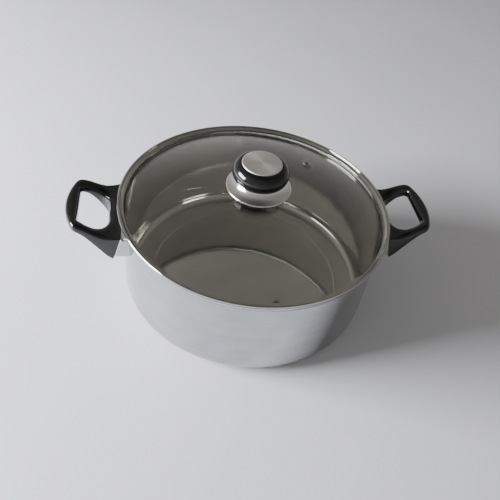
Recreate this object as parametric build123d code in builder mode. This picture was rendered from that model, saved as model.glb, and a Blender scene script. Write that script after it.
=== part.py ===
"""Wide low water bath canner: a polished steel pot with a bonded base, two moulded loop handles
on steel brackets, and a domed glass lid with a steel band, a steam vent and a knob.

Origin at the centre of the base on the table, +Z up, handles along X. All sizes in millimetres."""
import os
from math import cos, radians, sin, sqrt

from build123d import *

os.makedirs("parts", exist_ok=True)

# ---- pot body ------------------------------------------------------------------------------
SHEET = 0.8                 # pot wall and floor
WALL_R = 130.0              # outside of the straight wall
BOTTOM_BEND = 12.0          # outside bend from floor to wall
FLARE_Z = 97.6              # the wall leaves the vertical here
FLARE_TOP = (133.9, 104.0)  # radius and height where the flare turns upright again
FLARE_BEND = 3.0
LIP_R = 134.3               # outside of the edge at the mouth
LIP_Z = 106.2
RING_R = 101.0              # ring pressed into the floor
RING_WIRE = 0.9             # radius of the round tool that presses it
RING_DEPTH = 0.25

# ---- bonded base: an aluminium disc closed in by a thin steel cap ------------------------------
CAP_SHEET = 0.6
CORE_R = 112.0
CORE_THICK = 3.4
BASE_TOP = CAP_SHEET + CORE_THICK
CAP_BEND = 2.0
CAP_EDGE_GAP = 0.3          # between the cap's turned edge and the pot floor

# ---- loop handles: reach is measured from the pot's axis ----------------------------------------
ROOT_TOP = (131.0, 96.5)    # slanted face where the moulding meets its bracket
ROOT_FOOT = (138.3, 71.5)
ROOT_HALF = 41.5
GRIP_REACH = 182.8
GRIP_Z = (98.8, 107.8)      # underside and top of the grip bar
LEVEL_X = 173.5             # outside this reach the grip bar runs level
TOP_SWEEP = ((152.0, 93.2), (160.5, GRIP_Z[1]))    # pull points of the S from root to grip, on top
UNDER_SWEEP = ((162.0, GRIP_Z[0]), (150.5, 73.5))  # and below
CORNER = (173.5, 35.5)      # reach and half width of the outer corners before rounding
CORNER_R = 8.0
OPENING_X = (143.5, 170.5)
OPENING_HALF = (35.0, 23.0)  # half widths of the finger gap at the root and at the grip
OPENING_R = (16.0, 4.5)
EDGE_R = 3.2                # rounding of the moulding's long edges
SLOPE_LIMIT = 0.98          # edges steeper than this are the moulding's upright corners
BRACKET_SLOPE = 0.5         # edges of the bracket's face steeper than this are its upright corners
ON_PLANE = 0.05             # nearer than this counts as lying on a plane

# ---- handle brackets and their fixings ---------------------------------------------------------
BRACKET_HALF = 42.5
BRACKET_Z = (75.0, 96.5)
BRACKET_SHEET = 0.8
BRACKET_EDGE_R = 1.6
WALL_FIT = 0.05             # bracket and stud against the wall
FIX_Z = 83.5                # height of the stud and screw
STUD_R = 4.0
STUD_END_X = 137.5
STUD_FLOOR_X = 131.5        # bottom of the tapped hole
STUD_ROOM = 0.15            # radial room round the stud
SCREW_R = 2.45
SCREW_ROOM = 0.35
TAPPED_R = 2.5
SCREW_TIP_X = 132.2
HEAD_R = 4.4
HEAD_H = 2.4
SEAT_X = 140.4              # the counterbore's floor
COUNTERBORE_R = 5.2
WASHER_R = 4.7
WASHER_THICK = 0.9

CROSS_SPAN = 1.1            # screw cross, as shares of the head's radius
CROSS_SLOT = 0.22

# ---- glass lid -----------------------------------------------------------------------------------
DOME_TOP = 129.2
DOME_R = 356.0
GLASS = 3.5
GLASS_EDGE_R = 129.9
GLASS_EDGE_CUT = 0.5
KNOB_HOLE_R = 3.6
VENT_AT = 77.0              # distance of the vent from the axis
VENT_ANGLE = 39.2
VENT_HOLE_R = 3.4
EYELET_R = (2.4, 3.2, 5.2)  # steam hole, tube and flange
EYELET_FLANGE = 0.5
EYELET_EDGE_R = 0.22

# ---- lid band: one folded steel ring round the glass --------------------------------------------
BAND_R = 135.0
BAND_TOP = 110.0
BEAD = (132.3, 107.0)       # inner radius and underside of the folded bead
TONGUE_R = 128.9            # the inner tongue laps over the glass
TONGUE_Z = (105.3, 106.4)
CHANNEL_R = (130.3, 130.8)  # inside and outside of the channel round the glass edge
CHANNEL_Z = (100.2, 100.7)
SKIRT_R = (127.9, 128.4)    # locating skirt inside the mouth
SKIRT_FOOT = 97.6
BEAD_FOLD = (0.2, 1.4)      # lean and rise of the bead's inner side
BAND_BENDS = (0.2, 0.4, 0.4, 0.6, 0.9, 1.3, 1.3, 0.8, 0.8, 1.1, 0.3, 0.2, 0.2, 0.3, 0.6, 0.2)
SEAL_Z = (101.5, 104.9)     # silicone bedding in the channel

# ---- lid knob ------------------------------------------------------------------------------------
NECK_R = 9.0
GASKET_THICK = 1.1
SCREW_ROOM_R = 3.4
KNOB_SKIRT_SHEET = 0.6
KNOB_SKIRT_BASE_R = 32.0
KNOB_SKIRT_LIP_H = 2.0      # upright lip round the skirt's foot
KNOB_SKIRT_TOP = (22.6, 137.2)
KNOB_SKIRT_PULL = ((28.2, 130.9), (24.2, 133.6))   # pull points of its hollow flank
KNOB_SKIRT_LIFT = 0.4
KNOB_FOOT_R = 21.6
KNOB_BELLY = (25.5, 139.9)  # a point on the curve under the widest part
KNOB_WIDE = (27.4, 145.4)
KNOB_CROWN_RISE = 4.0       # how far the side keeps its direction above the widest part
KNOB_CROWN_R = 24.5         # where it starts to turn level
KNOB_TOP = (19.9, 155.8)
CAP_R = 19.2
CAP_PLATE = 0.8
CAP_SEAT_Z = 154.6
CAP_SHOULDER = (18.5, 156.8)
CAP_EDGE_Z = 155.8
CAP_CROWN_Z = 157.4
INSERT_R = 5.5
INSERT_Z = (139.0, 150.0)
KNOB_SCREW_R = 2.95
KNOB_TAPPED_R = 3.0
KNOB_SCREW_TIP = 147.5
KNOB_HEAD_R = 5.6
KNOB_HEAD_H = 3.0
KNOB_WASHER_R = 8.0
KNOB_WASHER_THICK = 1.2
DRAW_GAP = 0.1              # air left between knob fixings and the curved glass


def dome_z(radius, depth=0.0):
    """Height of the glass dome at a radius, at a depth below its outer face."""
    return DOME_TOP - DOME_R + sqrt((DOME_R - depth) ** 2 - radius**2)


def write(piece, label):
    """Label a finished piece and write it under that name."""
    piece.part.label = label
    export_step(piece.part, f"parts/{label}.step")


def washer_ring(inner_r, outer_r, low_z, high_z):
    """A flat ring about the Z axis between two heights."""
    with BuildPart() as flat_ring:
        with BuildSketch(Plane.XY.offset(low_z)):
            Circle(outer_r)
            Circle(inner_r, mode=Mode.SUBTRACT)
        extrude(amount=high_z - low_z)
    return flat_ring


def pan_screw(seat, shank_r, head_r, head_h, length):
    """A cross-head pan screw: its head stands on the seat plane and its shank goes below it."""
    with BuildPart(seat) as screw:
        Cylinder(head_r, head_h, align=(Align.CENTER, Align.CENTER, Align.MIN))
        crown = screw.faces().sort_by(Axis(seat.origin, seat.z_dir))[-1]
        fillet(crown.edges(), head_h / 2)
        Cylinder(shank_r, length, align=(Align.CENTER, Align.CENTER, Align.MAX))
        with BuildSketch(seat.offset(head_h)):
            Rectangle(head_r * CROSS_SPAN, head_r * CROSS_SLOT)
            Rectangle(head_r * CROSS_SLOT, head_r * CROSS_SPAN)
        extrude(amount=-head_h / 2, mode=Mode.SUBTRACT)
    return screw


def write_pair(piece, label):
    """Write a right-hand piece and its mirror image on the left."""
    write(piece, f"right_{label}")
    with BuildPart() as left_piece:
        mirror(piece.part, about=Plane.YZ)
    write(left_piece, f"left_{label}")


# ---- pot body ------------------------------------------------------------------------------------
with BuildPart() as pot_shell:
    with BuildSketch(Plane.XZ):
        with BuildLine():
            outside = FilletPolyline(
                (0, BASE_TOP), (WALL_R, BASE_TOP), (WALL_R, FLARE_Z), FLARE_TOP, (LIP_R, LIP_Z),
                radius=(BOTTOM_BEND, FLARE_BEND, FLARE_BEND))
            offset(outside, amount=SHEET, side=Side.LEFT)
        make_face()
    revolve(axis=Axis.Z)
    with BuildSketch(Plane.XZ):
        with Locations((RING_R, BASE_TOP + SHEET + RING_WIRE - RING_DEPTH)):
            Circle(RING_WIRE)
    revolve(axis=Axis.Z, mode=Mode.SUBTRACT)
write(pot_shell, "pot_shell")

# ---- bonded base ---------------------------------------------------------------------------------
with BuildPart() as base_core:
    with BuildSketch(Plane.XY.offset(CAP_SHEET)):
        Circle(CORE_R)
    extrude(amount=CORE_THICK)
    fillet(base_core.edges().group_by(Axis.Z)[0], CAP_BEND - CAP_SHEET)
write(base_core, "base_core")

with BuildPart() as base_cap:
    cap_r = CORE_R + CAP_SHEET
    with BuildSketch(Plane.XZ):
        with BuildLine():
            under = FilletPolyline((0, 0), (cap_r, 0), (cap_r, BASE_TOP - CAP_EDGE_GAP), radius=(CAP_BEND,))
            offset(under, amount=CAP_SHEET, side=Side.LEFT)
        make_face()
    revolve(axis=Axis.Z)
write(base_cap, "base_cap")

# ---- handle mouldings: the S-shaped side view meets the D-shaped plan ----------------------------
root_plane = Plane(
    origin=(ROOT_FOOT[0], 0, ROOT_FOOT[1]), x_dir=(0, 1, 0),
    z_dir=(ROOT_TOP[1] - ROOT_FOOT[1], 0, ROOT_FOOT[0] - ROOT_TOP[0]))

with BuildPart() as handle_grip:
    with BuildSketch(Plane.XZ):
        with BuildLine():
            grip_top = (LEVEL_X, GRIP_Z[1])
            grip_under = (LEVEL_X, GRIP_Z[0])
            Bezier(ROOT_TOP, *TOP_SWEEP, grip_top)
            Polyline(
                grip_top, (GRIP_REACH + EDGE_R, GRIP_Z[1]), (GRIP_REACH + EDGE_R, GRIP_Z[0]), grip_under)
            Bezier(grip_under, *UNDER_SWEEP, ROOT_FOOT)
            Line(ROOT_FOOT, ROOT_TOP)
        make_face()
    extrude(amount=ROOT_HALF + EDGE_R, both=True)
    with BuildSketch() as plan:
        corner_right = (CORNER[0], -CORNER[1])
        with BuildLine():
            ThreePointArc(corner_right, (GRIP_REACH, 0), CORNER)
            Polyline(CORNER, (WALL_R, ROOT_HALF), (WALL_R, -ROOT_HALF), corner_right)
        make_face()
        fillet(plan.vertices().group_by(Axis.X)[-1], CORNER_R)
        with BuildLine():
            Polyline(
                (OPENING_X[0], OPENING_HALF[0]), (OPENING_X[1], OPENING_HALF[1]),
                (OPENING_X[1], -OPENING_HALF[1]), (OPENING_X[0], -OPENING_HALF[0]), close=True)
        make_face(mode=Mode.SUBTRACT)
        for reach, bend in zip(OPENING_X, OPENING_R):
            fillet(plan.vertices().filter_by_position(Axis.X, reach - ON_PLANE, reach + ON_PLANE), bend)
    extrude(amount=BAND_TOP, mode=Mode.INTERSECT)
    off_root = handle_grip.edges().filter_by(
        lambda edge: abs(root_plane.to_local_coords(edge @ 0.5).Z) > ON_PLANE)
    fillet(off_root.filter_by(lambda edge: abs((edge % 0.5).Z) < SLOPE_LIMIT), EDGE_R)
    with BuildSketch(Plane.YZ.offset(SEAT_X)):
        with Locations((0, FIX_Z)):
            Circle(COUNTERBORE_R)
    extrude(amount=OPENING_X[0] - SEAT_X + EDGE_R, mode=Mode.SUBTRACT)
    with BuildSketch(Plane.YZ.offset(WALL_R)):
        with Locations((0, FIX_Z)):
            Circle(SCREW_R + SCREW_ROOM)
    extrude(amount=SEAT_X - WALL_R, mode=Mode.SUBTRACT)
    with BuildSketch(Plane.YZ.offset(WALL_R)):
        with Locations((0, FIX_Z)):
            Circle(STUD_R + STUD_ROOM)
    extrude(amount=STUD_END_X + STUD_ROOM - WALL_R, mode=Mode.SUBTRACT)
write_pair(handle_grip, "handle_grip")

# ---- handle brackets: a shallow pressed box, open towards the pot wall ---------------------------
with BuildPart() as handle_bracket:
    with BuildSketch(Plane.XZ):
        slant = (ROOT_FOOT[0] - ROOT_TOP[0]) / (ROOT_TOP[1] - ROOT_FOOT[1])
        bracket_foot_x = ROOT_TOP[0] + slant * (ROOT_TOP[1] - BRACKET_Z[0])
        with BuildLine():
            Polyline(
                (WALL_R / 2, BRACKET_Z[0]), (bracket_foot_x, BRACKET_Z[0]), ROOT_TOP,
                (WALL_R / 2, BRACKET_Z[1]), close=True)
        make_face()
    extrude(amount=BRACKET_HALF, both=True)
    with BuildSketch():
        Circle(WALL_R + WALL_FIT)
    extrude(amount=BAND_TOP, mode=Mode.SUBTRACT)
    round_face = handle_bracket.edges().filter_by(
        lambda edge: abs(root_plane.to_local_coords(edge @ 0.5).Z) < ON_PLANE)
    fillet(round_face.filter_by(lambda edge: abs((edge % 0.5).Z) > BRACKET_SLOPE), BRACKET_EDGE_R)
    wall_side = handle_bracket.faces().filter_by(GeomType.CYLINDER).sort_by(SortBy.AREA)[-1]
    offset(amount=-BRACKET_SHEET, openings=wall_side)
    with BuildSketch(Plane.YZ.offset(WALL_R)):
        with Locations((0, FIX_Z)):
            Circle(STUD_R + STUD_ROOM)
    extrude(amount=STUD_END_X - WALL_R, mode=Mode.SUBTRACT)
write_pair(handle_bracket, "handle_bracket")

# ---- handle fixings: a tapped stud welded to the wall, a washer and a screw ----------------------
with BuildPart() as handle_stud:
    with BuildSketch(Plane.YZ.offset(WALL_R - SHEET)):
        with Locations((0, FIX_Z)):
            Circle(STUD_R)
    extrude(amount=STUD_END_X - WALL_R + SHEET)
    with BuildSketch():
        Circle(WALL_R + WALL_FIT)
    extrude(amount=BAND_TOP, mode=Mode.SUBTRACT)
    with BuildSketch(Plane.YZ.offset(STUD_FLOOR_X)):
        with Locations((0, FIX_Z)):
            Circle(TAPPED_R)
    extrude(amount=STUD_END_X - STUD_FLOOR_X, mode=Mode.SUBTRACT)
write_pair(handle_stud, "handle_stud")

with BuildPart() as handle_washer:
    with BuildSketch(Plane.YZ.offset(SEAT_X)):
        with Locations((0, FIX_Z)):
            Circle(WASHER_R)
            Circle(SCREW_R + SCREW_ROOM, mode=Mode.SUBTRACT)
    extrude(amount=WASHER_THICK)
write_pair(handle_washer, "handle_washer")

head_seat = Plane(origin=(SEAT_X + WASHER_THICK, 0, FIX_Z), z_dir=(1, 0, 0))
handle_screw = pan_screw(head_seat, SCREW_R, HEAD_R, HEAD_H, head_seat.origin.X - SCREW_TIP_X)
write_pair(handle_screw, "handle_screw")

# ---- glass lid -----------------------------------------------------------------------------------
vent_tilt = Vector(VENT_AT * cos(radians(VENT_ANGLE)), VENT_AT * sin(radians(VENT_ANGLE)), 0)
vent_foot = vent_tilt + Vector(0, 0, dome_z(VENT_AT))
vent_plane = Plane(origin=vent_foot, z_dir=vent_foot - Vector(0, 0, DOME_TOP - DOME_R))

with BuildPart() as lid_glass:
    with BuildSketch(Plane.XZ):
        with BuildLine():
            mid_r = GLASS_EDGE_R / 2
            outer_face = ThreePointArc(
                (KNOB_HOLE_R, dome_z(KNOB_HOLE_R)), (mid_r, dome_z(mid_r)),
                (GLASS_EDGE_R, dome_z(GLASS_EDGE_R)))
            inner_face = ThreePointArc(
                (KNOB_HOLE_R, dome_z(KNOB_HOLE_R, GLASS)), (mid_r, dome_z(mid_r, GLASS)),
                (GLASS_EDGE_R, dome_z(GLASS_EDGE_R, GLASS)))
            Line(outer_face @ 0, inner_face @ 0)
            Line(outer_face @ 1, inner_face @ 1)
        make_face()
    revolve(axis=Axis.Z)
    rim = lid_glass.edges().filter_by(GeomType.CIRCLE).filter_by(lambda edge: edge.radius == GLASS_EDGE_R)
    chamfer(rim, GLASS_EDGE_CUT)
    with BuildSketch(vent_plane):
        Circle(VENT_HOLE_R)
    extrude(amount=GLASS * 2, both=True, mode=Mode.SUBTRACT)
write(lid_glass, "lid_glass")

with BuildPart() as lid_band:
    with BuildSketch(Plane.XZ):
        with BuildLine():
            FilletPolyline(
                (TONGUE_R, TONGUE_Z[0]), (TONGUE_R, TONGUE_Z[1]), (CHANNEL_R[0], TONGUE_Z[1]),
                (BEAD[0], BEAD[1] + BEAD_FOLD[1]), (BEAD[0] + BEAD_FOLD[0], BAND_TOP), (BAND_R, BAND_TOP),
                (BAND_R, BEAD[1]), BEAD,
                (CHANNEL_R[1], TONGUE_Z[0]), (CHANNEL_R[1], CHANNEL_Z[0]), (SKIRT_R[1], CHANNEL_Z[0]),
                (SKIRT_R[1], SKIRT_FOOT), (SKIRT_R[0], SKIRT_FOOT), (SKIRT_R[0], CHANNEL_Z[1]),
                (CHANNEL_R[0], CHANNEL_Z[1]), (CHANNEL_R[0], TONGUE_Z[0]),
                radius=BAND_BENDS, close=True)
        make_face()
    revolve(axis=Axis.Z)
write(lid_band, "lid_band")

lid_edge_seal = washer_ring(GLASS_EDGE_R, CHANNEL_R[0], *SEAL_Z)
write(lid_edge_seal, "lid_edge_seal")

# ---- steam vent: a flanged steel tube closed over both faces of the glass ------------------------
with BuildPart(vent_plane) as vent_eyelet:
    hole_r, tube_r, flange_r = EYELET_R
    Cylinder(flange_r, EYELET_FLANGE, align=(Align.CENTER, Align.CENTER, Align.MIN))
    fillet(vent_eyelet.edges(), EYELET_EDGE_R)
    with Locations((0, 0, -GLASS - DRAW_GAP)):
        Cylinder(flange_r, EYELET_FLANGE, align=(Align.CENTER, Align.CENTER, Align.MAX))
    Cylinder(tube_r, GLASS + EYELET_FLANGE, align=(Align.CENTER, Align.CENTER, Align.MAX))
    Cylinder(hole_r, GLASS * 4, mode=Mode.SUBTRACT)
write(vent_eyelet, "vent_eyelet")

# ---- knob: steel skirt, moulded body with a brass insert, steel top plate ------------------------
with BuildPart() as knob_skirt:
    with BuildSketch(Plane.XZ):
        with BuildLine():
            skirt_foot_z = dome_z(KNOB_SKIRT_BASE_R) + KNOB_SKIRT_LIFT
            lip_top = (KNOB_SKIRT_BASE_R, skirt_foot_z + KNOB_SKIRT_LIP_H)
            flank_points = [lip_top, *KNOB_SKIRT_PULL, KNOB_SKIRT_TOP]
            flank = Bezier(*flank_points)
            lining = Bezier(
                *((reach - KNOB_SKIRT_SHEET, height - KNOB_SKIRT_SHEET) for reach, height in flank_points))
            Polyline(
                flank @ 0, (KNOB_SKIRT_BASE_R, skirt_foot_z),
                (KNOB_SKIRT_BASE_R - KNOB_SKIRT_SHEET, skirt_foot_z), lining @ 0)
            Polyline(
                flank @ 1, (NECK_R + DRAW_GAP, KNOB_SKIRT_TOP[1]),
                (NECK_R + DRAW_GAP, KNOB_SKIRT_TOP[1] - KNOB_SKIRT_SHEET), lining @ 1)
        make_face()
    revolve(axis=Axis.Z)
write(knob_skirt, "knob_skirt")

gasket_top = DOME_TOP + GASKET_THICK
with BuildPart() as knob_body:
    with BuildSketch(Plane.XZ):
        with BuildLine():
            Polyline(
                (KNOB_SCREW_R + SCREW_ROOM, INSERT_Z[0]), (KNOB_SCREW_R + SCREW_ROOM, gasket_top),
                (NECK_R, gasket_top), (NECK_R, KNOB_SKIRT_TOP[1]), (KNOB_FOOT_R, KNOB_SKIRT_TOP[1]))
            belly = ThreePointArc((KNOB_FOOT_R, KNOB_SKIRT_TOP[1]), KNOB_BELLY, KNOB_WIDE)
            Bezier(KNOB_WIDE, KNOB_WIDE + belly % 1 * KNOB_CROWN_RISE, (KNOB_CROWN_R, KNOB_TOP[1]), KNOB_TOP)
            Polyline(
                KNOB_TOP, (CAP_R + DRAW_GAP, KNOB_TOP[1]), (CAP_R + DRAW_GAP, CAP_SEAT_Z), (0, CAP_SEAT_Z),
                (0, INSERT_Z[1]), (INSERT_R, INSERT_Z[1]), (INSERT_R, INSERT_Z[0]),
                (KNOB_SCREW_R + SCREW_ROOM, INSERT_Z[0]))
        make_face()
    revolve(axis=Axis.Z)
write(knob_body, "knob_body")

with BuildPart() as knob_cap:
    with BuildSketch(Plane.XZ):
        with BuildLine():
            crown_arc = TangentArc((0, CAP_CROWN_Z), CAP_SHOULDER, tangent=(1, 0))
            shoulder = TangentArc(CAP_SHOULDER, (CAP_R, CAP_EDGE_Z), tangent=crown_arc % 1)
            edge_line = Line(shoulder @ 1, (CAP_R, CAP_SEAT_Z))
            offset([crown_arc, shoulder, edge_line], amount=CAP_PLATE, side=Side.RIGHT)
        make_face()
    revolve(axis=Axis.Z)
write(knob_cap, "knob_cap")

# ---- knob fixings, from the insert down through the glass ----------------------------------------
knob_insert = washer_ring(KNOB_TAPPED_R, INSERT_R, *INSERT_Z)
write(knob_insert, "knob_insert")

knob_upper_gasket = washer_ring(SCREW_ROOM_R, NECK_R, DOME_TOP, gasket_top)
write(knob_upper_gasket, "knob_upper_gasket")

under_glass = dome_z(NECK_R, GLASS) - DRAW_GAP
knob_lower_gasket = washer_ring(SCREW_ROOM_R, NECK_R, under_glass - GASKET_THICK, under_glass)
write(knob_lower_gasket, "knob_lower_gasket")

washer_foot = under_glass - GASKET_THICK - KNOB_WASHER_THICK
knob_washer = washer_ring(SCREW_ROOM_R, KNOB_WASHER_R, washer_foot, washer_foot + KNOB_WASHER_THICK)
write(knob_washer, "knob_washer")

under_washer = Plane(origin=(0, 0, washer_foot), z_dir=(0, 0, -1))
knob_screw = pan_screw(under_washer, KNOB_SCREW_R, KNOB_HEAD_R, KNOB_HEAD_H, KNOB_SCREW_TIP - washer_foot)
write(knob_screw, "knob_screw")
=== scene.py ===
"""Looks of the water bath canner: polished steel pot, glass lid, black moulded handles and knob.

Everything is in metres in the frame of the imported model: Z up, handles along X."""

from math import acos, atan2, cos, pi, radians, sin, sqrt, tan

import bmesh
import bpy
from mathutils import Matrix, Quaternion, Vector


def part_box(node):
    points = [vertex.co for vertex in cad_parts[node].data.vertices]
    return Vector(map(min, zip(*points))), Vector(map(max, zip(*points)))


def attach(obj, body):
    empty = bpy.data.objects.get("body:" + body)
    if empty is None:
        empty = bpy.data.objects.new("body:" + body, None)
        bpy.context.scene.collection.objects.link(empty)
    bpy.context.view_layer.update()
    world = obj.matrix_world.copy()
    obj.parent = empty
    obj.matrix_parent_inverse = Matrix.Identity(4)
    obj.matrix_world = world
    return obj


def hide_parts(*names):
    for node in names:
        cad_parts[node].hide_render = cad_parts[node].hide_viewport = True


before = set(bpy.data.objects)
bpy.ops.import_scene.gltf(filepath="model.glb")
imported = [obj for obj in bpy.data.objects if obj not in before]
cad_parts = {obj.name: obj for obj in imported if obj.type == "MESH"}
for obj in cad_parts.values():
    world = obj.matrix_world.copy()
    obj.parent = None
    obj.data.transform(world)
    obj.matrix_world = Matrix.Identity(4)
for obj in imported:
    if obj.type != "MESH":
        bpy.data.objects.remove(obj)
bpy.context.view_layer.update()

MM = 0.001
SIDES = {"left": -1.0, "right": 1.0}
TURN = 288                  # facets round a full turn of the large rings
TURN_SMALL = 96
CORNER_STEP = radians(10)   # widest angle between two points on a rounded corner


# ---- sizes read from the frame ----------------------------------------------------------------
def reach(node):
    """Largest distance of a round node from the axis."""
    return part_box(node)[1].x


def low(node):
    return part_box(node)[0].z


def high(node):
    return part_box(node)[1].z


SHEET = 0.8 * MM
BASE_TOP = low("pot_shell")
LIP_R = reach("pot_shell")
LIP_Z = high("pot_shell")
WALL_R = LIP_R - 4.3 * MM
BAND_R = reach("lid_band")
BAND_TOP = high("lid_band")
DOME_TOP = high("lid_glass")
GLASS_EDGE_R = reach("lid_glass")
DOME_R = 356.0 * MM
GLASS = 3.5 * MM
VENT_AT = 77.0 * MM         # distance of the vent from the axis
VENT_HOLE_R = 3.4 * MM


def dome_z(radius, depth=0.0):
    """Height of the glass dome at a radius, at a depth below its outer face."""
    return DOME_TOP - DOME_R + sqrt((DOME_R - depth) ** 2 - radius**2)


# ---- mesh helpers -----------------------------------------------------------------------------
def rounded(points, radii, closed=False):
    """A polyline whose inner corners are rounded to the given radii."""
    count = len(points)
    corners = range(count) if closed else range(1, count - 1)
    bends = dict(zip(corners, radii))
    line = []
    for i, point in enumerate(points):
        radius = bends.get(i, 0.0)
        here = Vector(point)
        before = Vector(points[i - 1]) - here
        after = Vector(points[(i + 1) % count]) - here
        if radius <= 0.0:
            line.append(here)
            continue
        before.normalize()
        after.normalize()
        half = acos(max(-1.0, min(1.0, before.dot(after)))) / 2
        centre = here + (before + after).normalized() * (radius / sin(half))
        start = here + before * (radius / tan(half)) - centre
        stop = here + after * (radius / tan(half)) - centre
        sweep = pi - 2 * half
        steps = max(2, int(sweep / CORNER_STEP) + 1)
        side = 1.0 if start.x * stop.y - start.y * stop.x > 0 else -1.0
        for k in range(steps + 1):
            turn = side * sweep * k / steps
            line.append(centre + Vector((
                start.x * cos(turn) - start.y * sin(turn), start.x * sin(turn) + start.y * cos(turn))))
    return line


def bezier(start, pull_a, pull_b, stop, steps):
    """Points of a cubic curve, both ends included."""
    pts = [Vector(p) for p in (start, pull_a, pull_b, stop)]
    line = []
    for k in range(steps + 1):
        t = k / steps
        s = 1 - t
        line.append(pts[0] * s**3 + pts[1] * 3 * s * s * t + pts[2] * 3 * s * t * t + pts[3] * t**3)
    return line


def new_piece(name, bm, sharp=radians(38)):
    """Turn a bmesh into an object with clean normals and soft shading up to a sharp angle."""
    bmesh.ops.remove_doubles(bm, verts=bm.verts, dist=1e-7)
    bmesh.ops.recalc_face_normals(bm, faces=bm.faces)
    mesh = bpy.data.meshes.new(name)
    bm.to_mesh(mesh)
    bm.free()
    mesh.shade_smooth()
    mesh.set_sharp_from_angle(angle=sharp)
    piece = bpy.data.objects.new(name, mesh)
    bpy.context.scene.collection.objects.link(piece)
    return piece


def lathe(name, profile, turn=TURN, place=None, sharp=radians(38)):
    """Revolve a closed profile of (radius, height) points about Z."""
    bm = bmesh.new()
    rings = []
    for radius, height in profile:
        if radius < 1e-7:
            rings.append([bm.verts.new((0, 0, height))] * turn)
            continue
        rings.append([
            bm.verts.new((radius * cos(2 * pi * k / turn), radius * sin(2 * pi * k / turn), height))
            for k in range(turn)])
    for i, ring_a in enumerate(rings):
        ring_b = rings[(i + 1) % len(rings)]
        for k in range(turn):
            loop = [ring_a[k], ring_a[(k + 1) % turn], ring_b[(k + 1) % turn], ring_b[k]]
            corners = list(dict.fromkeys(loop))
            if len(corners) > 2:
                bm.faces.new(corners)
    if place is not None:
        bm.transform(place)
    return new_piece(name, bm, sharp)


def dress(piece, material):
    """Make a material the only one of a piece."""
    piece.data.materials.clear()
    piece.data.materials.append(material)


def finish_piece(piece, body, slot, material, *nodes):
    """Give a piece its material and its body, and hide the CAD nodes that it stands for. The slot is not
    used.
    """
    dress(piece, material)
    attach(piece, body)
    if nodes:
        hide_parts(*nodes)
    return piece


# ---- node helpers -----------------------------------------------------------------------------
def set_span(node, low_in, high_in, low_out, high_out):
    """Set what range a Map Range node reads and what range it gives."""
    node.inputs["From Min"].default_value = low_in
    node.inputs["From Max"].default_value = high_in
    node.inputs["To Min"].default_value = low_out
    node.inputs["To Max"].default_value = high_out


def set_stops(ramp, stops):
    """Fill a colour ramp with (position, colour) stops."""
    elements = ramp.color_ramp.elements
    while len(elements) < len(stops):
        elements.new(0.5)
    for element, (position, colour) in zip(elements, stops):
        element.position = position
        element.color = (*colour, 1.0)


class Tree:
    """A material's node tree with short ways to add and join nodes."""

    def __init__(self, name):
        self.material = bpy.data.materials.new(name)
        self.material.use_nodes = True
        self.nodes = self.material.node_tree.nodes
        self.links = self.material.node_tree.links
        self.shader = self.nodes["Principled BSDF"]
        self.output = self.nodes["Material Output"]

    def add(self, kind, **settings):
        node = self.nodes.new(kind)
        for key, value in settings.items():
            setattr(node, key, value)
        return node

    def join(self, source, target):
        self.links.new(source, target)

    def math(self, operation, first, second=None, third=None):
        node = self.add("ShaderNodeMath", operation=operation)
        for socket, value in zip(node.inputs, (first, second, third)):
            if value is None:
                continue
            if isinstance(value, (int, float)):
                socket.default_value = value
            else:
                self.join(value, socket)
        return node.outputs[0]

    def place(self):
        """Position in the row frame: the pieces sit at the origin, so object space is the frame."""
        return self.add("ShaderNodeTexCoord").outputs["Object"]

    def split(self, vector):
        node = self.add("ShaderNodeSeparateXYZ")
        self.join(vector, node.inputs[0])
        return node.outputs

    def combine(self, x, y, z):
        node = self.add("ShaderNodeCombineXYZ")
        for socket, value in zip(node.inputs, (x, y, z)):
            if isinstance(value, (int, float)):
                socket.default_value = value
            else:
                self.join(value, socket)
        return node.outputs[0]

    def cylinder(self):
        """(angle, radius, height) round the pot's axis, with the angle in radians."""
        x, y, z = self.split(self.place())
        angle = self.math("ARCTAN2", y, x)
        radius = self.math("SQRT", self.math("ADD", self.math("MULTIPLY", x, x), self.math("MULTIPLY", y, y)))
        return angle, radius, z

    def noise(self, vector, scale, detail=4.0, roughness=0.55, lacunarity=2.0):
        node = self.add("ShaderNodeTexNoise")
        node.inputs["Scale"].default_value = scale
        node.inputs["Detail"].default_value = detail
        node.inputs["Roughness"].default_value = roughness
        node.inputs["Lacunarity"].default_value = lacunarity
        if vector is not None:
            self.join(vector, node.inputs["Vector"])
        return node.outputs["Fac"]

    def remap(self, value, low_in, high_in, low_out, high_out):
        node = self.add("ShaderNodeMapRange")
        self.join(value, node.inputs["Value"])
        set_span(node, low_in, high_in, low_out, high_out)
        return node.outputs["Result"]

    def ramp(self, value, *stops):
        """Colour ramp: stops are (position, colour)."""
        node = self.add("ShaderNodeValToRGB")
        set_stops(node, stops)
        self.join(value, node.inputs["Fac"])
        return node.outputs["Color"]

    def mix(self, share, first, second):
        """Blend two colours."""
        node = self.add("ShaderNodeMix", data_type="RGBA")
        self.join(share, node.inputs[0])
        self.join(first, node.inputs[6])
        self.join(second, node.inputs[7])
        return node.outputs[2]

    def bump(self, height, distance, strength=1.0, under=None):
        node = self.add("ShaderNodeBump")
        node.inputs["Strength"].default_value = strength
        node.inputs["Distance"].default_value = distance
        self.join(height, node.inputs["Height"])
        if under is not None:
            self.join(under, node.inputs["Normal"])
        return node.outputs["Normal"]

    def set(self, **values):
        for key, value in values.items():
            self.shader.inputs[key.replace("_", " ")].default_value = value


def hoop_vector(tree, per_turn, radius_scale, height_scale):
    """A seamless vector that runs slowly round the axis and fast across it, for spun metal."""
    angle, radius, height = tree.cylinder()
    return tree.combine(
        tree.math("MULTIPLY", tree.math("COSINE", angle), per_turn),
        tree.math("MULTIPLY", tree.math("SINE", angle), per_turn),
        tree.math("ADD", tree.math("MULTIPLY", radius, radius_scale),
                  tree.math("MULTIPLY", height, height_scale)))


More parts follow.
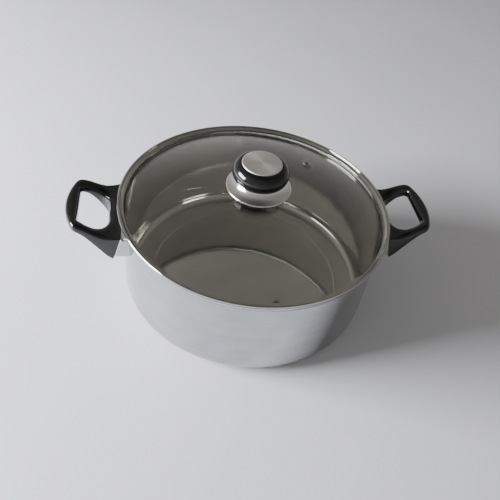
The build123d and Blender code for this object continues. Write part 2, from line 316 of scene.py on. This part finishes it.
DRAWN_RING = (112.0 * MM, 124.0 * MM)   # drawing marks start at the first reach and are full at the second


def spun_steel(name, tint_low, tint_high, rough_low, rough_high, line_depth, anisotropy=0.0, inside=None):
    """Steel polished on a spinning machine: fine hoops, faint smears and fine handling scratches.

    inside gives the tints and roughness of a pot's inner side, told apart by position. The inner tints are
    lighter and warmer than the outer ones on the same steel, which is a painted reflection tone. The lower
    inner roughness is a real finer polish."""
    tree = Tree(name)
    fine = tree.noise(hoop_vector(tree, 1.6, 5200.0, 5200.0), 1.0, 3.0, 0.6)
    broad = tree.noise(hoop_vector(tree, 2.5, 160.0, 160.0), 1.0, 3.0, 0.55)
    smear = tree.noise(tree.place(), 26.0, 5.0, 0.62)
    scratch_place = tree.add("ShaderNodeMapping")
    scratch_place.inputs["Scale"].default_value = (900.0, 70.0, 900.0)
    scratch_place.inputs["Rotation"].default_value = (0.2, 0.5, 0.7)
    tree.join(tree.place(), scratch_place.inputs["Vector"])
    scratch = tree.noise(scratch_place.outputs[0], 1.0, 2.0, 0.7)
    tone = tree.math("ADD", tree.math("MULTIPLY", broad, 0.25), tree.math("MULTIPLY", smear, 0.75))
    tint = tree.ramp(tone, (0.3, tint_low), (0.7, tint_high))
    rough = tree.math("ADD", tree.math("MULTIPLY", fine, 0.4), tree.math("MULTIPLY", smear, 0.6))
    sheen = tree.remap(rough, 0.3, 0.7, rough_low, rough_high)
    if inside:
        inner_low, inner_high, inner_rough_low, inner_rough_high = inside
        radius, height = tree.cylinder()[1:]
        # this inner-side mask carries a painted reflection tone (lighter, warmer tints) and a real smoother
        # finish
        inner_mask_painted_tint_and_finish = tree.math("MULTIPLY", tree.remap(radius, WALL_R - 0.45 * MM, WALL_R - 0.55 * MM, 0.0, 1.0),
                           tree.remap(height, BASE_TOP + 0.3 * MM, BASE_TOP + 0.4 * MM, 0.0, 1.0))
        # painted reflection tone: the inner side gets lighter, warmer tints than the outer side of the same
        # steel
        tint = tree.mix(inner_mask_painted_tint_and_finish, tint, tree.ramp(tone, (0.3, inner_low), (0.7, inner_high)))
        inner_sheen = tree.remap(rough, 0.3, 0.7, inner_rough_low, inner_rough_high)
        change = tree.math("MULTIPLY", tree.math("SUBTRACT", inner_sheen, sheen), inner_mask_painted_tint_and_finish)
        sheen = tree.math("ADD", change, sheen)
    tree.join(tint, tree.shader.inputs["Base Color"])
    tree.join(sheen, tree.shader.inputs["Roughness"])
    angle, radius, height = tree.cylinder()
    upright = tree.combine(tree.math("MULTIPLY", tree.math("COSINE", angle), 7.0),
                           tree.math("MULTIPLY", tree.math("SINE", angle), 7.0),
                           tree.math("MULTIPLY", height, 6.0))
    drawn = tree.noise(upright, 1.0, 2.0, 0.5)
    at_wall = tree.remap(radius, *DRAWN_RING, 0.0, 1.0)
    normal = tree.bump(tree.math("MULTIPLY", drawn, at_wall), 0.45 * MM, 0.6)
    normal = tree.bump(fine, line_depth, 0.4, normal)
    normal = tree.bump(scratch, line_depth * 0.8, 0.2, normal)
    tree.join(normal, tree.shader.inputs["Normal"])
    tree.set(Metallic=1.0, Anisotropic=anisotropy)
    return tree.material


def phenolic(name):
    """Black compression-moulded phenolic: glossy skin, faint flow ripple, dust and handling wear."""
    tree = Tree(name)
    place = tree.place()
    flow = tree.noise(place, 45.0, 3.0, 0.5)
    grain = tree.noise(place, 1400.0, 2.0, 0.6)
    wear = tree.noise(place, 120.0, 5.0, 0.65)
    tree.join(tree.ramp(flow, (0.3, (0.0022, 0.0022, 0.0024)), (0.75, (0.0050, 0.0049, 0.0046))),
              tree.shader.inputs["Base Color"])
    tree.join(tree.remap(wear, 0.35, 0.75, 0.10, 0.24), tree.shader.inputs["Roughness"])
    normal = tree.bump(flow, 0.12 * MM, 0.5)
    normal = tree.bump(grain, 0.006 * MM, 0.5, normal)
    tree.join(normal, tree.shader.inputs["Normal"])
    tree.set(IOR=1.55)
    return tree.material


def clear_glass(name):
    """Tempered lid glass: a faint grey tint, a little haze from washing, and lamps shine through it."""
    tree = Tree(name)
    place = tree.place()
    haze = tree.noise(place, 30.0, 5.0, 0.65)
    tree.join(tree.remap(haze, 0.45, 0.8, 0.0, 0.05), tree.shader.inputs["Roughness"])
    ripple = tree.noise(place, 14.0, 1.0, 0.4)
    tree.join(tree.bump(ripple, 0.02 * MM, 0.6), tree.shader.inputs["Normal"])
    tree.set(Base_Color=(0.93, 0.935, 0.92, 1.0), IOR=1.5, Transmission_Weight=1.0)
    shadow = tree.add("ShaderNodeLightPath").outputs["Is Shadow Ray"]
    open_shader = tree.add("ShaderNodeBsdfTransparent")
    open_shader.inputs["Color"].default_value = (0.86, 0.89, 0.88, 1.0)
    mix = tree.add("ShaderNodeMixShader")
    tree.join(shadow, mix.inputs[0])
    tree.join(tree.shader.outputs[0], mix.inputs[1])
    tree.join(open_shader.outputs[0], mix.inputs[2])
    tree.join(mix.outputs[0], tree.output.inputs["Surface"])
    return tree.material


def silicone(name, low_tint, high_tint):
    """Translucent grey silicone with a dusty, slightly mottled skin."""
    tree = Tree(name)
    mottle = tree.noise(tree.place(), 350.0, 4.0, 0.6)
    tree.join(tree.ramp(mottle, (0.3, low_tint), (0.7, high_tint)), tree.shader.inputs["Base Color"])
    tree.join(tree.remap(mottle, 0.3, 0.7, 0.42, 0.62), tree.shader.inputs["Roughness"])
    tree.join(tree.bump(mottle, 0.03 * MM, 0.5), tree.shader.inputs["Normal"])
    return tree.material


def plated(name, low_tint, high_tint, rough_low, rough_high):
    """Fasteners, inserts and cast metal: fine random grain with slightly uneven tone."""
    tree = Tree(name)
    grain = tree.noise(tree.place(), 900.0, 4.0, 0.6)
    stain = tree.noise(tree.place(), 90.0, 4.0, 0.6)
    tree.join(tree.ramp(stain, (0.3, low_tint), (0.7, high_tint)), tree.shader.inputs["Base Color"])
    tree.join(tree.remap(grain, 0.3, 0.7, rough_low, rough_high), tree.shader.inputs["Roughness"])
    tree.join(tree.bump(grain, 0.01 * MM, 0.6), tree.shader.inputs["Normal"])
    tree.set(Metallic=1.0)
    return tree.material


def table_top(name):
    """Pale matt laminate with a faint mottle."""
    tree = Tree(name)
    mottle = tree.noise(tree.place(), 3.0, 4.0, 0.5)
    tree.join(tree.ramp(mottle, (0.3, (0.74, 0.74, 0.78)), (0.7, (0.79, 0.79, 0.83))),
              tree.shader.inputs["Base Color"])
    tree.set(Roughness=0.5)
    return tree.material


# ---- camera -----------------------------------------------------------------------------------
EYE_AZIMUTH = radians(-13.5)
EYE_DISTANCE = 0.4248       # from the pot's axis, level
EYE_HEIGHT = 0.4606
AIM = Vector((0.002, 0.0, 0.0404))
ROLL = radians(9.5)
LENS = 39.74
SENSOR = 36.0


def make_camera():
    data = bpy.data.cameras.new("camera")
    data.lens = LENS
    data.sensor_width = SENSOR
    data.clip_start = 0.01
    camera = bpy.data.objects.new("camera", data)
    bpy.context.scene.collection.objects.link(camera)
    camera.location = (EYE_DISTANCE * sin(EYE_AZIMUTH), -EYE_DISTANCE * cos(EYE_AZIMUTH), EYE_HEIGHT)
    look = (AIM - camera.location).to_track_quat("-Z", "Y") @ Quaternion((0, 0, 1), ROLL)
    camera.rotation_mode = "QUATERNION"
    camera.rotation_quaternion = look
    bpy.context.scene.camera = camera
    return camera


# ---- floor and studio light ---------------------------------------------------------------------
FLOOR_DROP = 0.2 * MM       # the floor lies this far under the pot, so that the two never touch
FLOOR_HALF = 3.0
FAR_SIDE_LEVEL = 0.50       # the room's side away from the window, beside the window side
ROOM_STOPS = (              # sine of the elevation, colour of the room
    (0.0, (0.88, 0.87, 0.85)), (0.25, (0.62, 0.61, 0.59)), (0.50, (0.42, 0.41, 0.385)),
    (0.75, (0.40, 0.392, 0.365)), (1.0, (0.10, 0.10, 0.097)))


def make_floor():
    bm = bmesh.new()
    bmesh.ops.create_grid(bm, x_segments=1, y_segments=1, size=FLOOR_HALF)
    floor = new_piece("floor", bm)
    floor.location.z = -FLOOR_DROP
    floor.data.materials.append(table_top("table_top"))


def make_light(name, place, aim, size, power, colour):
    data = bpy.data.lights.new(name, "AREA")
    data.shape = "RECTANGLE"
    data.size, data.size_y = size
    data.energy = power
    data.color = colour
    light = bpy.data.objects.new(name, data)
    light.location = place
    light.rotation_euler = (Vector(aim) - Vector(place)).to_track_quat("-Z", "Y").to_euler()
    bpy.context.scene.collection.objects.link(light)


def make_world():
    """A plain room: bright low horizon, dimmer above, and a slow falloff away from the window."""
    world = bpy.data.worlds.new("studio")
    bpy.context.scene.world = world
    world.use_nodes = True
    nodes, links = world.node_tree.nodes, world.node_tree.links
    direction = nodes.new("ShaderNodeTexCoord")
    split = nodes.new("ShaderNodeSeparateXYZ")
    ramp = nodes.new("ShaderNodeValToRGB")
    falloff = nodes.new("ShaderNodeMapRange")
    links.new(direction.outputs["Generated"], split.inputs[0])
    links.new(split.outputs["Z"], ramp.inputs["Fac"])
    links.new(ramp.outputs["Color"], nodes["Background"].inputs["Color"])
    links.new(split.outputs["X"], falloff.inputs["Value"])
    set_span(falloff, -1.0, 1.0, 1.0, FAR_SIDE_LEVEL)
    links.new(falloff.outputs["Result"], nodes["Background"].inputs["Strength"])
    set_stops(ramp, ROOM_STOPS)


make_camera()
make_floor()
make_world()
make_light("window_left", (-1.35, -0.02, 0.52), (0, 0, 0.03), (0.80, 0.40), 84.0, (0.94, 0.955, 1.0))

# ---- materials ----------------------------------------------------------------------------------
# the inside tints given below, lighter and warmer than the outside ones, are a painted reflection tone; the
# smoother inside roughness is a real finish
outside_steel = spun_steel(
    "polished_steel", (0.38, 0.38, 0.395), (0.52, 0.52, 0.535), 0.11, 0.19, 0.002 * MM, 0.6,
    inside=((0.50, 0.49, 0.46), (0.58, 0.57, 0.54), 0.04, 0.09))
base_steel = spun_steel("base_steel", (0.70, 0.70, 0.71), (0.80, 0.80, 0.81), 0.12, 0.22, 0.004 * MM)
band_steel = spun_steel("band_steel", (0.38, 0.37, 0.345), (0.52, 0.51, 0.48), 0.04, 0.09, 0.001 * MM)
bright_steel = spun_steel("bright_steel", (0.76, 0.75, 0.72), (0.84, 0.83, 0.80), 0.12, 0.20, 0.001 * MM)
brushed_steel = spun_steel(
    "brushed_steel", (0.72, 0.70, 0.66), (0.82, 0.80, 0.76), 0.34, 0.46, 0.010 * MM, 0.4)
black_phenolic = phenolic("phenolic")
lid_clear = clear_glass("lid_glass")
grey_silicone = silicone("silicone", (0.30, 0.30, 0.29), (0.42, 0.42, 0.41))
fixing_steel = plated("fixing_steel", (0.50, 0.50, 0.51), (0.66, 0.66, 0.67), 0.24, 0.40)
core_aluminium = plated("core_aluminium", (0.66, 0.67, 0.68), (0.78, 0.79, 0.80), 0.30, 0.48)
insert_brass = plated("insert_brass", (0.60, 0.42, 0.18), (0.78, 0.58, 0.28), 0.22, 0.38)


# ---- pot ----------------------------------------------------------------------------------------
def make_pot():
    bend = 12.0 * MM
    flare_low = LIP_Z - 8.7 * MM
    outer = rounded(
        [(0, BASE_TOP), (WALL_R, BASE_TOP), (WALL_R, flare_low), (LIP_R - 0.4 * MM, LIP_Z - 2.3 * MM),
         (LIP_R, LIP_Z)],
        (bend, 4.0 * MM, 3.0 * MM))
    step_r = 101.0 * MM
    inner = rounded(
        [(0, BASE_TOP + SHEET), (step_r, BASE_TOP + SHEET), (step_r + 0.9 * MM, BASE_TOP + SHEET * 1.45),
         (WALL_R - SHEET, BASE_TOP + SHEET * 1.45), (WALL_R - SHEET, flare_low),
         (LIP_R - 0.4 * MM - SHEET, LIP_Z - 2.1 * MM), (LIP_R - SHEET, LIP_Z)],
        (1.0 * MM, 1.0 * MM, bend - SHEET, 3.4 * MM, 2.4 * MM))
    rim = [Vector((LIP_R - SHEET * (0.5 - 0.5 * cos(a)), LIP_Z - 0.05 * MM + SHEET * 0.2 * sin(a)))
           for a in (radians(d) for d in range(20, 180, 20))]
    pot = lathe("pot_body", outer[:-1] + rim + inner[::-1][1:])
    return finish_piece(pot, "pot", "polished_steel", outside_steel, "pot_shell")


def make_base():
    cap_r = reach("base_cap")
    plate = 0.6 * MM
    outer = rounded([(0, 0), (cap_r, 0), (cap_r, high("base_cap"))], (2.0 * MM,))
    groove_half, groove_depth = 0.4 * MM, 0.12 * MM
    grooves = []
    for k in range(1, 9):
        centre = cap_r * k / 10
        grooves += [Vector((centre - groove_half, 0)), Vector((centre, groove_depth)),
                    Vector((centre + groove_half, 0))]
    inner = rounded([(0, plate), (cap_r - plate, plate), (cap_r - plate, high("base_cap"))], (1.4 * MM,))
    cap = lathe("base_plate", outer[:1] + grooves + outer[1:] + inner[::-1])
    return finish_piece(cap, "pot", "polished_steel", base_steel, "base_cap")


# ---- lid glass and band -----------------------------------------------------------------------------
def make_glass():
    screw_hole = 3.6 * MM
    cut = 0.5 * MM
    steps = 48
    radii = [screw_hole + (GLASS_EDGE_R - cut - screw_hole) * k / steps for k in range(steps + 1)]
    outer = [Vector((r, dome_z(r))) for r in radii]
    inner = [Vector((r, dome_z(r, GLASS))) for r in radii]
    edge = [Vector((GLASS_EDGE_R, dome_z(GLASS_EDGE_R) - cut)),
            Vector((GLASS_EDGE_R, dome_z(GLASS_EDGE_R, GLASS) + cut))]
    glass = lathe("lid_dome", outer + edge + inner[::-1])
    half = 20.0 * MM
    drill = lathe(
        "vent_drill", [(0, -half), (VENT_HOLE_R, -half), (VENT_HOLE_R, half), (0, half)], TURN_SMALL,
        vent_place())
    carve(glass, drill)
    return finish_piece(glass, "lid", "lid_glass", lid_clear, "lid_glass")


def apply_modifiers(piece):
    """Replace a piece's mesh by what its modifiers make of it."""
    graph = bpy.context.evaluated_depsgraph_get()
    done = bpy.data.meshes.new_from_object(piece.evaluated_get(graph))
    piece.modifiers.clear()
    piece.data = done
    return piece


def vent_place():
    """Where the steam vent sits: on the dome, square to the glass."""
    lowest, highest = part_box("vent_eyelet")
    centre = (lowest + highest) / 2
    azimuth = atan2(centre.y, centre.x)
    foot = Vector((VENT_AT * cos(azimuth), VENT_AT * sin(azimuth), dome_z(VENT_AT)))
    normal = (foot - Vector((0, 0, DOME_TOP - DOME_R))).normalized()
    return Matrix.Translation(foot) @ normal.to_track_quat("Z", "Y").to_matrix().to_4x4()


def make_band():
    """The folded steel ring: outer bead, valley, tongue over the glass, channel and locating skirt."""
    profile = rounded(
        [(128.9, 105.3), (128.9, 106.4), (130.3, 106.4), (132.3, 108.4), (132.5, 110.0), (135.0, 110.0),
         (135.0, 107.0), (132.3, 107.0), (130.8, 105.3), (130.8, 100.2), (128.4, 100.2), (128.4, 97.6),
         (127.9, 97.6), (127.9, 100.7), (130.3, 100.7), (130.3, 105.3)],
        (0.25, 0.45, 0.4, 0.6, 0.9, 1.3, 1.3, 0.8, 0.8, 1.1, 0.3, 0.2, 0.2, 0.3, 0.6, 0.2), closed=True)
    outer_top = Vector((135.0, 110.0))
    shift = Vector((BAND_R, BAND_TOP)) - outer_top * MM
    band = lathe("lid_rim", [p * MM + shift for p in profile])
    return finish_piece(band, "lid", "polished_steel", band_steel, "lid_band")


def make_vent():
    """Steel eyelet: rolled top flange, tube through the glass, and a flange curled under it."""
    profile = rounded(
        [(2.4, -4.1), (4.9, -4.1), (4.9, -3.65), (3.2, -3.6), (3.2, 0.02), (5.2, 0.02), (5.2, 0.55),
         (2.9, 0.75), (2.4, 0.2)],
        (0.1, 0.15, 0.1, 0.1, 0.1, 0.2, 0.22, 0.5, 0.3), closed=True)
    vent = lathe("steam_vent", [p * MM for p in profile], TURN_SMALL, vent_place())
    return finish_piece(vent, "lid", "polished_steel", band_steel, "vent_eyelet")


# ---- knob ---------------------------------------------------------------------------------------------
def make_knob():
    skirt_r = reach("knob_skirt")
    foot_z = low("knob_skirt")
    seat = high("knob_skirt")
    plate = 0.6 * MM
    neck = 9.1 * MM
    lip_top = foot_z + 2.0 * MM
    flank = bezier(
        (skirt_r, lip_top), (28.2 * MM, seat - 6.3 * MM), (24.2 * MM, seat - 3.6 * MM), (22.6 * MM, seat), 20)
    lining = [point - Vector((plate, plate)) for point in flank]
    rolled = rounded(
        [(skirt_r, lip_top), (skirt_r, foot_z), (skirt_r - plate, foot_z),
         (skirt_r - plate, lip_top - plate)],
        (0.28 * MM, 0.28 * MM))
    bend_r = 0.9 * MM
    lip_bend = [Vector((skirt_r - bend_r * (1 - cos(a)), lip_top - bend_r * (1 - sin(a))))
                for a in (radians(d) for d in range(80, -1, -20))]
    shaped = [point for point in flank[::-1] if point.x < skirt_r - 1.0 * MM] + lip_bend
    skirt = lathe("knob_flare", [Vector((neck, seat - plate)), Vector((neck, seat))] + shaped + rolled[1:-1]
                  + lining, TURN_SMALL * 2)
    finish_piece(skirt, "lid", "polished_steel", bright_steel, "knob_skirt")

    wide_r = reach("knob_body")
    top_z = high("knob_body")
    gasket_top = low("knob_body")
    wide = (wide_r, seat + 8.2 * MM)
    cap_r = reach("knob_cap")
    cap_seat = low("knob_cap")
    belly = bezier((21.6 * MM, seat), (24.6 * MM, seat + 0.3 * MM), (wide_r, wide[1] - 4.6 * MM), wide, 14)
    crown = bezier(wide, (wide_r, wide[1] + 4.6 * MM), (24.0 * MM, top_z - 0.4 * MM), (19.9 * MM, top_z), 16)
    shaft = 3.3 * MM
    insert_r, insert_foot, insert_top = 5.5 * MM, 139.0 * MM, 150.0 * MM
    boss_r = 9.0 * MM
    boss = [(shaft, gasket_top), (boss_r, gasket_top), (boss_r, seat)]
    recess = [(cap_r + 0.25 * MM, top_z - 0.02 * MM), (cap_r + 0.1 * MM, top_z - 0.25 * MM),
              (cap_r + 0.1 * MM, cap_seat), (0, cap_seat)]
    insert_room = [(0, insert_top), (insert_r, insert_top), (insert_r, insert_foot), (shaft, insert_foot)]
    body = lathe(
        "knob_moulding",
        [Vector(p) for p in boss] + belly + crown[1:] + [Vector(p) for p in recess + insert_room],
        TURN_SMALL * 2)
    finish_piece(body, "lid", "phenolic", black_phenolic, "knob_body")

    crown_z = high("knob_cap")
    shoulder_r = cap_r - 0.7 * MM
    dish_r = shoulder_r**2 / (2 * 0.6 * MM)
    cap_plate = 0.8 * MM
    disc = [Vector((shoulder_r * k / 12, crown_z - (shoulder_r * k / 12) ** 2 / (2 * dish_r)))
            for k in range(13)]
    under = [Vector((point.x, point.y - cap_plate)) for point in reversed(disc)]
    edge_z = disc[-1].y
    disc += [Vector((cap_r - 0.45 * MM, edge_z - 0.06 * MM)), Vector((cap_r - 0.15 * MM, edge_z - 0.25 * MM)),
             Vector((cap_r, edge_z - 0.6 * MM)), Vector((cap_r, cap_seat)),
             Vector((cap_r - cap_plate, cap_seat))]
    cap = lathe("knob_disc", disc + under, TURN_SMALL * 2)
    finish_piece(cap, "lid", "brushed_steel", brushed_steel, "knob_cap")


# ---- handles ------------------------------------------------------------------------------------------
ROOT_TOP = (131.0, 96.5)    # millimetres: reach and height of the slanted face against the bracket
ROOT_FOOT = (138.3, 71.5)
ROOT_HALF = 41.5
CORNER = (173.5, 35.5)
FIX_Z = 83.5
HANDLE_TOP = bezier(ROOT_TOP, (152.0, 93.2), (160.5, 107.8), (173.5, 107.8), 40)
HANDLE_UNDER = bezier(ROOT_FOOT, (150.5, 73.5), (162.0, 98.8), (173.5, 98.8), 40)
SECTION_STEPS = 6           # facets on each rounded edge of the moulding
GRIP_REACH = 182.8
ROOT_GAP_SHARE = 0.26       # share of the finger gap's outline that lies behind the root face
ROOT_RINGS = 14             # section rings along half of the root face
SIDE_RINGS = 60             # section rings from there to the middle of the grip
OPENING = ((143.5, 35.0), (170.5, 23.0))    # reach and half width of the finger gap's corners
OPENING_BENDS = (16.0, 4.0)
MID_Z = 84.0                # a height halfway up the root face
BRACKET_HALF = 42.5
BRACKET_Z = (75.0, 96.5)
BRACKET_EDGE_R = 1.5
BRACKET_BACK = 100.0        # well inside the wall, which then trims the bracket's back
WALL_FIT = 0.05             # air between the bracket and the wall


def height_on(line, x):
    """Height of a side-view line at a reach, level beyond its ends."""
    if x <= line[0].x:
        return line[0].y
    for a, b in zip(line, line[1:]):
        if x <= b.x:
            return a.y + (b.y - a.y) * (x - a.x) / (b.x - a.x)
    return line[-1].y


def part_way(line, share):
    """The point at a share of a polyline's length."""
    runs = [(b - a).length for a, b in zip(line, line[1:])]
    left = share * sum(runs)
    for a, b, run in zip(line, line[1:], runs):
        if left <= run:
            return a.lerp(b, left / run)
        left -= run
    return line[-1]


def root_x(z):
    return ROOT_TOP[0] + (ROOT_TOP[1] - z) * (ROOT_FOOT[0] - ROOT_TOP[0]) / (ROOT_TOP[1] - ROOT_FOOT[1])


def grip_outline():
    """Half of the moulding's outer outline, from the root corner to the middle of the grip."""
    rise = GRIP_REACH - CORNER[0]
    radius = (CORNER[1] ** 2 + rise**2) / (2 * rise)
    centre = GRIP_REACH - radius
    sweep = atan2(CORNER[1], CORNER[0] - centre)
    steps, first = 24, 19       # the arc starts short of the corner, to leave room for its rounding
    turns = [sweep * k / steps for k in range(first, -1, -1)]
    arc = [(centre + radius * cos(turn), radius * sin(turn)) for turn in turns]
    return rounded([(ROOT_TOP[0], ROOT_HALF), CORNER] + arc, [8.0] + [0.0] * first)


def grip_section(outline, gap, from_root, share):
    """One ring of points across the moulding, between the finger gap and the outer outline."""
    gap_share = ROOT_GAP_SHARE * share if from_root else ROOT_GAP_SHARE + (1.0 - ROOT_GAP_SHARE) * share
    inner = part_way(gap, gap_share)
    edge = part_way(outline, share)

    def outer(z):
        if from_root:
            return Vector((root_x(z), ROOT_HALF * share))
        lean = max(0.0, 1.0 - (edge.x - ROOT_TOP[0]) / (CORNER[0] - ROOT_TOP[0]))
        return Vector((edge.x + (root_x(z) - ROOT_TOP[0]) * lean, edge.y))

    width = (outer(MID_Z) - inner).length
    soft = 0.0 if from_root else min(1.0, max(0.0, (edge.x - ROOT_TOP[0] - 1.0) / 16.0))
    soft = soft * soft * (3.0 - 2.0 * soft)
    inner_depth = height_on(HANDLE_TOP, inner.x) - height_on(HANDLE_UNDER, inner.x)
    outer_x = outer(MID_Z).x
    outer_depth = height_on(HANDLE_TOP, outer_x) - height_on(HANDLE_UNDER, outer_x)
    inner_low = min(3.0, width * 0.36, inner_depth * 0.49)
    inner_high = min(7.5, width * 0.62, inner_depth * 0.6)
    outer_high = min(0.5 + 4.0 * soft, width * 0.36, outer_depth * 0.49)
    outer_low = min(0.5 + 3.0 * soft, width * 0.36, outer_depth * 0.49)
    turns = [pi / 2 * k / SECTION_STEPS for k in range(SECTION_STEPS + 1)]
    points = [(inner_low * (1 - sin(t)), HANDLE_UNDER, inner_low * (1 - cos(t))) for t in turns]
    points += [(inner_high * (1 - cos(t)), HANDLE_TOP, -inner_high * (1 - sin(t))) for t in turns]
    flat = width - outer_high - inner_high
    points += [(inner_high + flat * k / 4, HANDLE_TOP, 0.0) for k in range(1, 4)]
    points += [(width - outer_high * (1 - sin(t)), HANDLE_TOP, -outer_high * (1 - cos(t))) for t in turns]
    points += [(width - outer_low * (1 - cos(t)), HANDLE_UNDER, outer_low * (1 - sin(t))) for t in turns]
    flat = width - outer_low - inner_low
    points += [(width - outer_low - flat * k / 4, HANDLE_UNDER, 0.0) for k in range(1, 4)]
    ring = []
    for distance, line, lift in points:
        z = height_on(line, outer_x) + lift
        for _ in range(3):
            spot = inner.lerp(outer(z), distance / width)
            z = height_on(line, spot.x) + lift
        ring.append(Vector((spot.x, spot.y, z)))
    return ring


def loop_skin(bm, rings):
    """Join closed rings of equal length into a closed loop of skin."""
    grid = [[bm.verts.new(point * MM) for point in ring] for ring in rings]
    for i, ring_a in enumerate(grid):
        ring_b = grid[(i + 1) % len(grid)]
        for k in range(len(ring_a)):
            n = (k + 1) % len(ring_a)
            bm.faces.new((ring_a[k], ring_a[n], ring_b[n], ring_b[k]))


def carve(piece, cutter):
    """Take a cutter's shape out of a piece, then drop the cutter."""
    tool = piece.modifiers.new("cut", "BOOLEAN")
    tool.object = cutter
    tool.solver = "EXACT"
    apply_modifiers(piece)
    bpy.data.objects.remove(cutter)


def fixing_drill(side):
    """Room for the stud, the screw and its washer, along the handle's middle line."""
    steps = [(0, 120.0), (4.15, 120.0), (4.15, 137.65), (2.8, 137.65), (2.8, 140.4), (5.2, 140.4),
             (5.2, 150.0), (0, 150.0)]
    turn = Matrix.Rotation(side * pi / 2, 4, "Y")
    place = Matrix.Translation((0, 0, FIX_Z * MM)) @ turn
    return lathe("fixing_drill", [(r * MM, z * MM) for r, z in steps], TURN_SMALL, place)


def make_grip(name, side):
    outline = grip_outline()
    gap = rounded([(OPENING[0][0], 0), *OPENING, (OPENING[1][0], 0)], OPENING_BENDS)
    half = [grip_section(outline, gap, True, k / ROOT_RINGS) for k in range(ROOT_RINGS)]
    half += [grip_section(outline, gap, False, k / SIDE_RINGS) for k in range(SIDE_RINGS + 1)]
    rings = half + [[Vector((p.x, -p.y, p.z)) for p in ring] for ring in half[-2:0:-1]]
    bm = bmesh.new()
    loop_skin(bm, [[Vector((side * p.x, p.y, p.z)) for p in ring] for ring in rings])
    grip = new_piece(f"{name}_grip", bm)
    carve(grip, fixing_drill(side))
    grip.data.set_sharp_from_angle(angle=radians(38))
    finish_piece(grip, "pot", "phenolic", black_phenolic, f"{name}_handle_grip")


def make_bracket(name, side):
    """A pressed steel block with soft edges, from the slanted root face back to the wall."""
    half = BRACKET_HALF
    foot, top = BRACKET_Z
    bm = bmesh.new()
    corners = [bm.verts.new(Vector((side * x, y, z)) * MM) for x, z in
               ((BRACKET_BACK, foot), (root_x(foot), foot), (root_x(top), top), (BRACKET_BACK, top))
               for y in (-half, half)]
    for quad in ((0, 2, 4, 6), (7, 5, 3, 1), (0, 1, 3, 2), (2, 3, 5, 4), (4, 5, 7, 6), (6, 7, 1, 0)):
        bm.faces.new([corners[k] for k in quad])
    bmesh.ops.bevel(bm, geom=bm.edges[:], offset=BRACKET_EDGE_R * MM, segments=5, profile=0.5, affect="EDGES")
    bracket = new_piece(f"{name}_bracket", bm)
    wall_r = WALL_R + WALL_FIT * MM
    wall_top = 200.0 * MM
    wall = lathe("wall_cutter", [(0, 0.0), (wall_r, 0.0), (wall_r, wall_top), (0, wall_top)])
    carve(bracket, wall)
    carve(bracket, fixing_drill(side))
    bracket.data.set_sharp_from_angle(angle=radians(38))
    finish_piece(bracket, "pot", "polished_steel", outside_steel, f"{name}_handle_bracket")


make_pot()
make_base()
make_glass()
make_band()
make_vent()
make_knob()
for side_name, side_sign in SIDES.items():
    make_grip(side_name, side_sign)
    make_bracket(side_name, side_sign)

# ---- hidden or plain CAD nodes keep their shape and get a finished material ------------------------------
for node, material in (
        ("base_core", core_aluminium), ("lid_edge_seal", grey_silicone), ("knob_insert", insert_brass),
        ("knob_upper_gasket", grey_silicone), ("knob_lower_gasket", grey_silicone),
        ("knob_washer", fixing_steel), ("knob_screw", fixing_steel)):
    dress(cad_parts[node], material)
for side in SIDES:
    for kind in ("stud", "washer", "screw"):
        dress(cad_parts[f"{side}_handle_{kind}"], fixing_steel)
